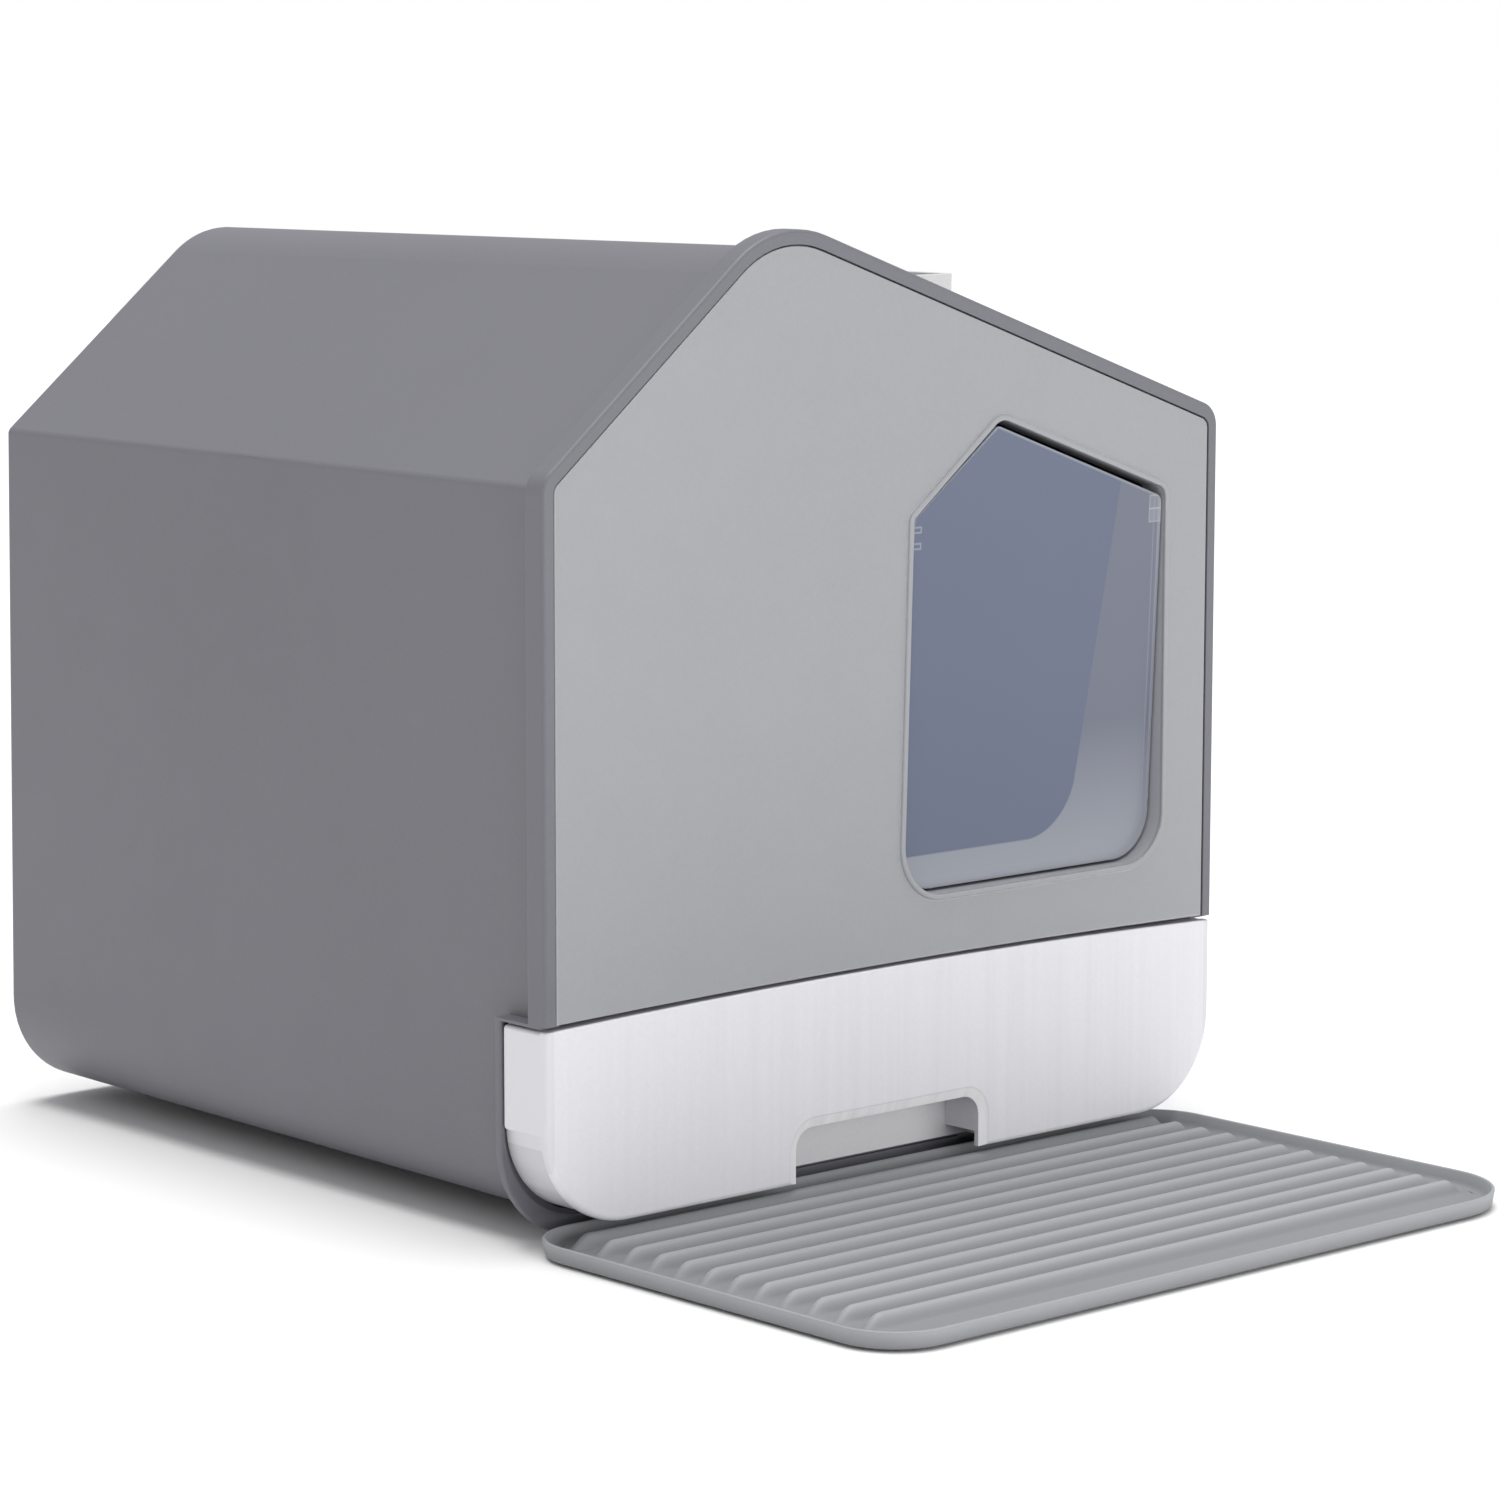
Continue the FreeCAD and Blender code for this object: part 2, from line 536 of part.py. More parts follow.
def scoop():
    x0, x1 = 212.0, 238.0
    y_mid = (HOLDER_Y0 + HOLDER_Y1) / 2
    z0, z1 = HOLDER_Z0 + HOLDER_WALL + 0.2, 288.0
    # shallow basket, open towards +X and at its lower end, with sieve slots through its floor
    profile = [(y_mid - 39, z0), (y_mid + 39, z0), (y_mid + 39, z1), (y_mid - 39, z1)]

    def block(inset, xa, xb, z_drop):
        pts = [Vector(xa, y_mid - 39 + inset, z0 - z_drop), Vector(xa, y_mid + 39 - inset, z0 - z_drop),
               Vector(xa, y_mid + 39 - inset, z1 - inset), Vector(xa, y_mid - 39 + inset, z1 - inset)]
        return Part.Face(Part.makePolygon(pts + [pts[0]])).extrude(Vector(xb - xa, 0, 0))

    basket = block(0.0, x0, x1, 0.0).cut(block(2.4, x0 + 2.4, x1 + 5, 5.0))
    # low lip at the digging edge
    slope = Part.Face(Part.makePolygon([Vector(x0 + 9, 0, z0 - 1), Vector(x1 + 9, 0, z0 - 1),
                                        Vector(x1 + 9, 0, z0 + 60), Vector(x1 + 1, 0, z0 + 60),
                                        Vector(x0 + 9, 0, z0 - 1)])).extrude(Vector(0, 400, 0))
    basket = basket.cut(slope)
    for i in range(7):
        y = y_mid - 30 + i * 10
        for za, zb in ((z0 + 14, z0 + 62), (z0 + 68, z0 + 116)):
            basket = basket.cut(box(x0 - 1, x0 + 3, y - 2.5, y + 2.5, za, zb))
    grip = box(x0, x0 + 9, y_mid - 11, y_mid + 11, z1 - 2.4, 399.0)
    grip = grip.makeFillet(3.0, [e for e in grip.Edges if e.Length > 50])
    grip = grip.cut(rod(x0 - 1, y_mid, 385.0, 4.5, 12, Vector(1, 0, 0)))
    return basket.fuse(grip).removeSplitter()


PARTS = {
    "hood_shell": hood_shell,
    "cross_rail": cross_rail,
    "front_panel": front_panel,
    "panel_clips": panel_clips,
    "flap_door": flap_door,
    "hinge_lug_left": lambda: hinge_lug(-6.0, 5.8),
    "hinge_lug_right": lambda: hinge_lug(176.6, 188.4),
    "hinge_pin_left": lambda: hinge_pin(-6.0, 18.0),
    "hinge_pin_right": lambda: hinge_pin(164.8, 188.4),
    "drawer_front": drawer_front,
    "litter_tub": litter_tub,
    "front_screws": front_screws,
    "runner_left": lambda: runner(-1),
    "runner_right": lambda: runner(1),
    "drawer_stops": drawer_stops,
    "feet": feet,
    "step_mat": step_mat,
    "mat_pads": mat_pads,
    "holder_bracket": holder_bracket,
    "scoop_holder": scoop_holder,
    "holder_screws": holder_screws,
    "scoop": scoop,
}

os.makedirs("parts", exist_ok=True)
to_origin = Vector(-(MAT_LEFT + HOLDER_X1) / 2, -(MAT_FRONT + HOOD_DEPTH) / 2, 0)
for name, make in PARTS.items():
    shape = make()
    shape.translate(to_origin)
    shape.exportStep("parts/" + name + ".step")
    print(name, len(shape.Solids), "solids", round(shape.Volume / 1000, 2), "cm3")
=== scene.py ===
import math

import bmesh
import bpy
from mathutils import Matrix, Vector

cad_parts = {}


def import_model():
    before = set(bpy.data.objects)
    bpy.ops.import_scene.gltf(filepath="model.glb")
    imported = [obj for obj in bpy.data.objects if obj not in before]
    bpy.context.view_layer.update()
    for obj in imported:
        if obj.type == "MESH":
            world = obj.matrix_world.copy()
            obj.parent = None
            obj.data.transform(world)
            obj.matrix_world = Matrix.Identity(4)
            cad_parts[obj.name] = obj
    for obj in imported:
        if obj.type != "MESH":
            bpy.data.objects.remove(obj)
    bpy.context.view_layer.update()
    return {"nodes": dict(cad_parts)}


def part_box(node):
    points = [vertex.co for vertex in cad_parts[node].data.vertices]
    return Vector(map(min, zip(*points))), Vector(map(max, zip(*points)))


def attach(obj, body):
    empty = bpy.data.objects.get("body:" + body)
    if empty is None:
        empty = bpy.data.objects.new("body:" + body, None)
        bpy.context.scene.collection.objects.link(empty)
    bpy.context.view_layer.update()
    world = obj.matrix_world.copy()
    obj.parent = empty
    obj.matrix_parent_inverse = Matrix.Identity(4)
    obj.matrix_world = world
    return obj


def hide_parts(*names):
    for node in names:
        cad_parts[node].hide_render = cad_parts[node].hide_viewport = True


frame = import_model()
NODES = frame["nodes"]

# Drawing frame: millimetres from the middle of the hood's front face, on the floor.
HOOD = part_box("hood_shell")
X0 = (HOOD[0][0] + HOOD[1][0]) / 2
Y0 = HOOD[0][1]
MM_IN_M = 1000


def world(x, y, z):
    return Vector((X0 + x / MM_IN_M, Y0 + y / MM_IN_M, z / MM_IN_M))


# ---------------------------------------------------------------- camera, floor and light
LENS = 119.754
SENSOR = 36.0
CAMERA_SHIFT = (0.01764, 0.00202)
CAMERA_PLACE = (-1564.87, -1624.08, 528.03)
CAMERA_LOOKS_DOWN = 8.1976
CAMERA_TURN = -41.896
VIEW_END = 50.0

SKY_LIGHT = 0.5
PAPER_WHITE = 1.0
KEY_PLACE = (550, -2550, 380)
KEY_AIM = (0, 150, 180)
KEY_SIZE = (3.0, 1.2)
KEY_WATTS = 27.0
OVERHEAD_STRENGTH = math.pi * 0.8
OVERHEAD_SPREAD = 38
OVERHEAD_FROM = (0.02, 0.10, 1.0)
FLOOR_HALF = 6.0


def make_camera():
    data = bpy.data.cameras.new("camera")
    data.lens = LENS
    data.sensor_width = SENSOR
    data.shift_x, data.shift_y = CAMERA_SHIFT
    data.clip_end = VIEW_END
    camera = bpy.data.objects.new("camera", data)
    camera.location = world(*CAMERA_PLACE)
    camera.rotation_euler = (math.radians(90 - CAMERA_LOOKS_DOWN), 0.0, math.radians(CAMERA_TURN))
    bpy.context.scene.collection.objects.link(camera)
    bpy.context.scene.camera = camera


def make_sky():
    """White to the camera, dimmer white as a light."""
    sky = bpy.data.worlds.new("studio")
    sky.use_nodes = True
    tree = sky.node_tree
    light = tree.nodes["Background"]
    light.inputs["Color"].default_value = (1.0, 1.0, 1.0, 1.0)
    light.inputs["Strength"].default_value = SKY_LIGHT
    paper = tree.nodes.new("ShaderNodeBackground")
    paper.inputs["Color"].default_value = (1.0, 1.0, 1.0, 1.0)
    paper.inputs["Strength"].default_value = PAPER_WHITE
    choose = tree.nodes.new("ShaderNodeMixShader")
    tree.links.new(tree.nodes.new("ShaderNodeLightPath").outputs["Is Camera Ray"], choose.inputs["Fac"])
    tree.links.new(light.outputs["Background"], choose.inputs[1])
    tree.links.new(paper.outputs["Background"], choose.inputs[2])
    tree.links.new(choose.outputs["Shader"], tree.nodes["World Output"].inputs["Surface"])
    bpy.context.scene.world = sky


def make_key():
    """Wide soft box low in front."""
    data = bpy.data.lights.new("key", "AREA")
    data.shape = "RECTANGLE"
    data.size, data.size_y = KEY_SIZE
    data.energy = KEY_WATTS
    light = bpy.data.objects.new("key", data)
    light.location = world(*KEY_PLACE)
    light.rotation_euler = (world(*KEY_AIM) - light.location).to_track_quat("-Z", "Y").to_euler()
    bpy.context.scene.collection.objects.link(light)


def make_overhead():
    """Very soft light from above."""
    data = bpy.data.lights.new("overhead", "SUN")
    data.energy = OVERHEAD_STRENGTH
    data.angle = math.radians(OVERHEAD_SPREAD)
    light = bpy.data.objects.new("overhead", data)
    light.rotation_euler = Vector(OVERHEAD_FROM).to_track_quat("Z", "Y").to_euler()
    bpy.context.scene.collection.objects.link(light)


# ---------------------------------------------------------------- materials
def rgb(code):
    """sRGB hex code to linear colour."""
    values = [int(code[i:i + 2], 16) / 255 for i in (0, 2, 4)]
    return [v / 12.92 if v <= 0.04045 else ((v + 0.055) / 1.055) ** 2.4 for v in values]


def scaled(colour, k=1.0):
    return tuple(min(c * k, 1.0) for c in colour[:3]) + (1.0,)


class Nodes:
    """Small helper that adds nodes and wires them by name."""

    def __init__(self, name):
        self.material = bpy.data.materials.new(name)
        self.material.use_nodes = True
        self.tree = self.material.node_tree
        self.shader = self.tree.nodes["Principled BSDF"]

    def add(self, kind, inputs=None, **settings):
        node = self.tree.nodes.new(kind)
        for key, value in settings.items():
            setattr(node, key, value)
        for key, value in (inputs or {}).items():
            self.put(node.inputs[key], value)
        return node

    def put(self, socket, value):
        if isinstance(value, bpy.types.NodeSocket):
            self.tree.links.new(value, socket)
        else:
            socket.default_value = value

    def math(self, operation, a, b=0.0):
        return self.add("ShaderNodeMath", {0: a, 1: b}, operation=operation).outputs[0]

    def both(self, *masks):
        """Product of several masks."""
        product = masks[0]
        for mask in masks[1:]:
            product = self.math("MULTIPLY", product, mask)
        return product

    def distance(self, a, b):
        """Absolute difference."""
        return self.math("ABSOLUTE", self.math("SUBTRACT", a, b))

    def over(self, a, b):
        """How far a is over b, or nothing."""
        return self.math("MAXIMUM", self.math("SUBTRACT", a, b), 0.0)

    def length(self, a, b):
        return self.math("SQRT", self.math("ADD", self.math("MULTIPLY", a, a), self.math("MULTIPLY", b, b)))

    def place(self):
        return self.add("ShaderNodeTexCoord").outputs["Object"]

    def parts(self, vector):
        outputs = self.add("ShaderNodeSeparateXYZ", {0: vector}).outputs
        return outputs["X"], outputs["Y"], outputs["Z"]

    def stretched(self, vector, factors):
        return self.add("ShaderNodeVectorMath", {0: vector, 1: factors}, operation="MULTIPLY").outputs[0]

    def noise(self, vector, scale, detail=2.0, roughness=0.5):
        return self.add("ShaderNodeTexNoise", {"Vector": vector, "Scale": scale, "Detail": detail,
                                               "Roughness": roughness}).outputs["Fac"]

    def remap(self, value, a, b, c, d):
        return self.add("ShaderNodeMapRange", {"Value": value, "From Min": a, "From Max": b, "To Min": c,
                                               "To Max": d}).outputs["Result"]

    def mix(self, factor, a, b):
        node = self.add("ShaderNodeMix", data_type="RGBA")
        self.put(node.inputs[0], factor)
        self.put(node.inputs[6], a)
        self.put(node.inputs[7], b)
        return node.outputs[2]

    def bump(self, height, distance, normal=None):
        node = self.add("ShaderNodeBump", {"Height": height, "Distance": distance, "Strength": 1.0})
        if normal is not None:
            self.put(node.inputs["Normal"], normal)
        return node.outputs["Normal"]


# noises of moulded plastic: scale per metre, detail and, where it isn't 0.5, roughness
DRIFT = (4.0, 3.0)
SPECK = (620.0, 2.0)
SCUFF = (38.0, 5.0, 0.65)
# the next noise breaks up the painted highlight along edges
PAINTED_EDGE_NOISE = (90.0, 3.0)
GRAIN = (1500.0, 2.0)
WAVE = (26.0, 2.0)
FLOW = (210.0, 3.0, 0.6)
GLOSS = (45.0, 3.0)
WAVE_HEIGHT = 0.00012
SPECK_SHARE, SPECK_TONE = 0.22, 1.12
SCUFF_TONE = 1.25
STREAK_SHARE, STREAK_TONE = 0.5, 0.95
STREAK_STRETCH = (1.0, 0.0, 0.02)
PLASTIC_SPECULAR = 0.4
EDGE_FLAT, EDGE_SHARP = 0.995, 0.80


def edge_mask(n, radius):
    """1 along convex and concave edges, 0 on open surfaces."""
    soft = n.add("ShaderNodeBevel", {"Radius": radius}, samples=4).outputs["Normal"]
    hard = n.add("ShaderNodeNewGeometry").outputs["Normal"]
    dot = n.add("ShaderNodeVectorMath", {0: soft, 1: hard}, operation="DOT_PRODUCT").outputs["Value"]
    return n.remap(dot, EDGE_FLAT, EDGE_SHARP, 0.0, 1.0)


def plastic(name, colour, rough=(0.42, 0.52), grain=0.00005, spread=0.035, painted_edge_share=0.18, streaks=0.0,
            edge=0.0009, painted_edge_tone=1.7, scuffs=0.10, tones=None):
    """Moulded plastic: fine spark-eroded grain, slow colour drift, a painted highlight along the edges,
    optional flow streaks.

    tones is a function that changes the colour by place.
    """
    n = Nodes(name)
    place = n.place()
    drift = n.noise(place, *DRIFT)
    speck = n.noise(place, *SPECK)
    base = n.mix(n.remap(drift, 0.3, 0.7, 0.0, 1.0), scaled(colour, 1 - spread), scaled(colour, 1 + spread))
    base = n.mix(n.remap(speck, 0.35, 0.65, 0.0, SPECK_SHARE), base, scaled(colour, SPECK_TONE))
    scuff = n.noise(place, *SCUFF)
    base = n.mix(n.remap(scuff, 0.58, 0.78, 0.0, scuffs), base, scaled(colour, SCUFF_TONE))
    # painted highlight along convex and concave edges, broken up by noise; where the edge tone is below 1,
    # as on the holder, the edges are painted darker instead
    painted_edge_mask = n.math("MULTIPLY", edge_mask(n, edge), n.remap(n.noise(place, *PAINTED_EDGE_NOISE), 0.3, 0.7, 0.55, 1.0))
    base = n.mix(n.math("MULTIPLY", painted_edge_mask, painted_edge_share), base, scaled(colour, painted_edge_tone))
    fine = n.bump(n.noise(place, *GRAIN), grain)
    normal = n.bump(n.noise(place, *WAVE), WAVE_HEIGHT, fine)
    if tones:
        base = tones(n, place, base, colour)
    if streaks:
        flow = n.noise(n.stretched(place, STREAK_STRETCH), *FLOW)
        normal = n.bump(flow, streaks, normal)
        base = n.mix(n.remap(flow, 0.35, 0.68, 0.0, STREAK_SHARE), base, scaled(colour, STREAK_TONE))
    n.put(n.shader.inputs["Base Color"], base)
    n.put(n.shader.inputs["Roughness"], n.remap(n.noise(place, *GLOSS), 0.3, 0.7, *rough))
    n.shader.inputs["Specular IOR Level"].default_value = PLASTIC_SPECULAR
    n.put(n.shader.inputs["Normal"], normal)
    return n.material


VALLEY, SLOPE, CREST = 0.0026, 0.0048, 0.0075
# painted shade at the valley floor and painted highlight on the ridge tops, as colour factors
VALLEY_SHADE_TONE, CREST_HIGHLIGHT_TONE = 0.86, 1.22
SLOPE_SHARE, CREST_HIGHLIGHT_SHARE = 0.75, 0.8


def ridge_painted_light(n, place, base, colour):
    """Painted shade in the valleys and a painted highlight on the ridge tops, by height."""
    height = n.parts(place)[2]
    base = n.mix(n.remap(height, VALLEY, SLOPE, 0.0, SLOPE_SHARE), scaled(colour, VALLEY_SHADE_TONE), base)
    return n.mix(n.remap(height, SLOPE, CREST, 0.0, CREST_HIGHLIGHT_SHARE), base, scaled(colour, CREST_HIGHLIGHT_TONE))


TUB_FRONT_WALL = (29, 31)
# painted shade on the tub behind its front wall
TUB_INSIDE_SHADE_TONE = 0.8


def tub_painted_shade(n, place, base, colour):
    """Painted shade: the tub is darker behind its front wall."""
    depth = n.parts(place)[1]
    start, end = (world(0, y, 0).y for y in TUB_FRONT_WALL)
    return n.mix(n.remap(depth, start, end, 0.0, 1.0), base, scaled(colour, TUB_INSIDE_SHADE_TONE))


WINDOW_RETURN = (0.2, 1.2)
WINDOW_END_X = 185
# painted light on the inner faces of the window opening
WINDOW_RETURN_LIGHT_TONE = 1.45


def window_painted_light(n, place, base, colour):
    """Painted light on the right and lower faces inside the window opening."""
    x, y, _ = n.parts(place)
    turn_x, _, turn_z = n.parts(n.add("ShaderNodeTexCoord").outputs["Normal"])
    turned = n.math("MAXIMUM", n.math("LESS_THAN", turn_x, -0.5), n.math("GREATER_THAN", turn_z, 0.5))
    start, end = (world(0, depth, 0).y for depth in WINDOW_RETURN)
    inner = n.both(turned, n.remap(y, start, end, 0.0, 1.0),
                   n.math("LESS_THAN", x, world(WINDOW_END_X, 0, 0).x))
    return n.mix(inner, base, scaled(colour, WINDOW_RETURN_LIGHT_TONE))


UNDER_WING_X = 0.14
UNDER_WING_Y = 4.6
UNDER_WING_TOP, UNDER_WING_FADE = 0.0540, 0.0001
# painted shade on the box under the side wings
UNDER_WING_SHADE_TONE = 0.78
WING_FACE_X = 0.2062
# painted shade on the wings' side faces
WING_FACE_SHADE_TONE = 0.92
NOTCH_X = 0.12
NOTCH_TOP = 0.070
NOTCH_BEVEL = (0.1, 0.4, 2.2)
# painted light on the bevel round the grip notch
NOTCH_BEVEL_LIGHT_TONE = 1.25


def drawer_painted_shade_and_light(n, place, base, colour):
    """Painted shade on the box under the side wings and on the wing faces, and a painted highlight on the
    bevel round the grip notch.
    """
    x, y, z = n.parts(place)
    off_centre = n.distance(x, X0)
    under_wing_shade = n.both(n.math("GREATER_THAN", off_centre, UNDER_WING_X),
                    n.math("GREATER_THAN", y, world(0, UNDER_WING_Y, 0).y),
                    n.remap(z, UNDER_WING_TOP, UNDER_WING_TOP - UNDER_WING_FADE, 0.0, 1.0))
    base = n.mix(under_wing_shade, base, scaled(colour, UNDER_WING_SHADE_TONE))
    base = n.mix(n.math("GREATER_THAN", off_centre, WING_FACE_X), base, scaled(colour, WING_FACE_SHADE_TONE))
    start, full, end = (world(0, depth, 0).y for depth in NOTCH_BEVEL)
    bevel = n.both(n.math("LESS_THAN", off_centre, NOTCH_X), n.remap(y, start, full, 0.0, 1.0),
                   n.math("LESS_THAN", y, end), n.math("LESS_THAN", z, NOTCH_TOP))
    return n.mix(bevel, base, scaled(colour, NOTCH_BEVEL_LIGHT_TONE))


# the flap's band of painted light: a point on its slanted inner outline, its slant, lower edge and corner
# radius
BAND_X, BAND_Z, BAND_LEAN = 120.6, 174.1, 0.167
BAND_BOTTOM = 152.3
BAND_CORNER, BAND_SOFT = 0.027, 0.0008
BAND_FADE = (138, 205)
# the flap's own outline: centre and radius of its lower right corner, a point and normal of its long slope
FLAP_CORNER_X, FLAP_CORNER_Z, FLAP_CORNER = 150.2, 159.3, 0.023
SLOPE_X, SLOPE_Z, SLOPE_NORMAL = 173.2, 310.63, (0.3313, 0.9435)
# hinge ears behind the sheet: left, right, bottom, top and how strongly each is filled
HINGE_EARS = ((3.0, 13.6, 303.4, 305.8, 0.0), (3.0, 13.6, 295.9, 298.3, 0.0),
              (164.8, 172.6, 304.8, 311.0, 0.22), (164.8, 172.6, 298.6, 304.8, 0.32))
# the sheet's blue tint together with painted shade of the dark inside behind it
GLASS_DARK, GLASS_LIGHT = rgb("6b738a"), rgb("70788c")
PAINTED_LIGHT_LOW, PAINTED_LIGHT_HIGH = rgb("a3a7b0"), rgb("797d8c")
# the first colour here is a painted highlight on the flap's polished edges, the last a painted highlight on
# its cut edges
EDGE_GLINT_COLOUR, EAR_COLOUR, CUT_EDGE_HIGHLIGHT_COLOUR = rgb("a6a8b1"), rgb("b4b6bd"), rgb("c9ced6")
CUT_EDGE_HIGHLIGHT_SHARE = 0.8
GLASS_ALPHA = 0.9
GLASS_SPECULAR = 0.28
GLASS_ROUGH = (0.08, 0.16)
GLASS_RIPPLE = 0.000006


def clear_sheet(name):
    """Tinted see-through acrylic.

    Dark in the middle: the tint with painted shade of the dark inside; a band of painted light along its
    right and lower edges; a painted highlight on its cut edges.
    """
    n = Nodes(name)
    place = n.place()
    x, _, z = n.parts(place)
    low = world(BAND_X, 0, BAND_Z)
    lean = n.math("MULTIPLY", n.math("SUBTRACT", z, low.z), BAND_LEAN)
    from_right = n.math("SUBTRACT", n.math("ADD", lean, low.x), x)
    from_below = n.math("SUBTRACT", z, world(0, 0, BAND_BOTTOM).z)
    reach = n.length(n.over(BAND_CORNER, from_right), n.over(BAND_CORNER, from_below))
    inside = n.remap(reach, BAND_CORNER, BAND_CORNER - BAND_SOFT, 0.0, 1.0)
    middle = n.mix(n.noise(place, 9.0, 3.0), scaled(GLASS_DARK), scaled(GLASS_LIGHT))
    falling = n.remap(z, world(0, 0, BAND_FADE[0]).z, world(0, 0, BAND_FADE[1]).z, 0.0, 1.0)
    # painted light: the pale band, fading upwards
    painted_light_band = n.mix(falling, scaled(PAINTED_LIGHT_LOW), scaled(PAINTED_LIGHT_HIGH))
    base = n.mix(inside, painted_light_band, middle)
    # painted highlight: bright lines along the polished right, lower and long sloping edges that show
    # through the sheet
    depth = n.math("SUBTRACT", FLAP_CORNER, n.length(n.over(x, world(FLAP_CORNER_X, 0, 0).x),
                                                     n.over(world(0, 0, FLAP_CORNER_Z).z, z)))
    edge_glint = n.math("MAXIMUM", n.remap(depth, 0.0030, 0.0022, 0.0, 0.55),
                  n.remap(n.distance(depth, 0.0052), 0.0006, 0.0, 0.0, 0.45))
    slope = world(SLOPE_X, 0, SLOPE_Z)
    under = n.math("ADD", n.math("MULTIPLY", n.math("SUBTRACT", slope.x, x), SLOPE_NORMAL[0]),
                   n.math("MULTIPLY", n.math("SUBTRACT", slope.z, z), SLOPE_NORMAL[1]))
    edge_glint = n.math("MAXIMUM", edge_glint, n.remap(under, 0.0017, 0.0010, 0.0, 0.75))
    base = n.mix(edge_glint, base, scaled(EDGE_GLINT_COLOUR))
    for left, right, bottom, top, tone in HINGE_EARS:
        across = n.distance(x, world((left + right) / 2, 0, 0).x)
        up = n.distance(z, world(0, 0, (bottom + top) / 2).z)
        out = n.math("MAXIMUM", n.math("SUBTRACT", across, (right - left) / 2 / MM_IN_M),
                     n.math("SUBTRACT", up, (top - bottom) / 2 / MM_IN_M))
        fill = n.remap(out, 0.0, -0.0002, 0.0, tone)
        rim = n.remap(n.math("ABSOLUTE", out), 0.0006, 0.0002, 0.0, 0.6)
        base = n.mix(n.math("MAXIMUM", fill, rim), base, scaled(EAR_COLOUR))
    # painted highlight on the sheet's cut edges, picked by facing
    facing = n.parts(n.add("ShaderNodeTexCoord").outputs["Normal"])[1]
    cut_edge_highlight = n.remap(n.math("ABSOLUTE", facing), 0.97, 0.6, 0.0, 1.0)
    base = n.mix(n.math("MULTIPLY", cut_edge_highlight, CUT_EDGE_HIGHLIGHT_SHARE), base, scaled(CUT_EDGE_HIGHLIGHT_COLOUR))
    n.put(n.shader.inputs["Base Color"], base)
    n.put(n.shader.inputs["Roughness"], n.remap(n.noise(place, 30.0, 4.0), 0.3, 0.7, *GLASS_ROUGH))
    n.shader.inputs["Alpha"].default_value = GLASS_ALPHA
    n.shader.inputs["Specular IOR Level"].default_value = GLASS_SPECULAR
    n.put(n.shader.inputs["Normal"], n.bump(n.noise(place, 420.0, 2.0), GLASS_RIPPLE))
    return n.material


BRUSH_STRETCH = (1.0, 9.0, 9.0)
BRUSH = (300.0, 3.0)
BRUSH_DARK, BRUSH_LIGHT = rgb("9a9a98"), rgb("c4c4c2")
BRUSH_ROUGH = (0.22, 0.4)
BRUSH_HEIGHT = 0.00002


def metal(name):
    """Brushed steel, lined along X."""
    n = Nodes(name)
    brushed = n.noise(n.stretched(n.place(), BRUSH_STRETCH), *BRUSH)
    n.put(n.shader.inputs["Base Color"], n.mix(brushed, scaled(BRUSH_DARK), scaled(BRUSH_LIGHT)))
    n.shader.inputs["Metallic"].default_value = 1.0
    n.put(n.shader.inputs["Roughness"], n.remap(brushed, 0.3, 0.7, *BRUSH_ROUGH))
    n.put(n.shader.inputs["Normal"], n.bump(brushed, BRUSH_HEIGHT))
    return n.material


PAPER_DARK, PAPER_LIGHT = (0.93, 0.93, 0.93, 1.0), (0.955, 0.955, 0.955, 1.0)
PAPER_ROUGH, PAPER_SPECULAR = 0.8, 0.1


def floor_finish(name):
    """Matt white paper."""
    n = Nodes(name)
    tone = n.mix(n.noise(n.place(), 2.5, 2.0), PAPER_DARK, PAPER_LIGHT)
    n.put(n.shader.inputs["Base Color"], tone)
    n.shader.inputs["Roughness"].default_value = PAPER_ROUGH
    n.shader.inputs["Specular IOR Level"].default_value = PAPER_SPECULAR
    return n.material


MATERIALS = {
    "shell": plastic("shell_plastic", rgb("74747b"), rough=(0.45, 0.49), painted_edge_share=0.3),
    "panel": plastic("panel_plastic", rgb("a1a2a6"), spread=0.02, painted_edge_share=0.8, edge=0.0011, painted_edge_tone=2.3,
                     tones=window_painted_light),
    "white": plastic("drawer_plastic", rgb("eae9ee"), rough=(0.32, 0.42), spread=0.012, streaks=0.00006,
                     painted_edge_share=0.26, scuffs=0.03, tones=drawer_painted_shade_and_light),
    "tub": plastic("tub_plastic", rgb("ececee"), rough=(0.35, 0.5), spread=0.02, scuffs=0.03,
                   tones=tub_painted_shade),
    "mat": plastic("mat_rubber", rgb("949598"), rough=(0.5, 0.62), grain=0.00008, spread=0.025,
                   tones=ridge_painted_light),
    "holder": plastic("holder_plastic", rgb("dcdcdc"), rough=(0.33, 0.36), spread=0.012, painted_edge_share=0.7,
                      edge=0.0018, painted_edge_tone=0.66, scuffs=0.02),
    "scoop": plastic("scoop_plastic", rgb("a9aaac"), spread=0.03),
    "dark": plastic("foot_rubber", rgb("333436"), rough=(0.6, 0.75), spread=0.08),
    "slide": plastic("slide_plastic", rgb("c8c8c6"), rough=(0.25, 0.35)),
    "steel": metal("steel"),
    "clear": clear_sheet("clear_acrylic"),
}

FINISH = {
    "hood_shell": "shell", "cross_rail": "shell", "front_panel": "panel", "panel_clips": "panel",
    "flap_door": "clear", "hinge_lug_left": "panel", "hinge_lug_right": "panel", "hinge_pin_left": "steel",
    "hinge_pin_right": "steel", "drawer_front": "white", "litter_tub": "tub", "front_screws": "steel",
    "runner_left": "slide", "runner_right": "slide", "drawer_stops": "shell", "feet": "dark",
    "step_mat": "mat", "mat_pads": "dark", "holder_bracket": "holder", "scoop_holder": "holder",
    "holder_screws": "steel", "scoop": "scoop",
}


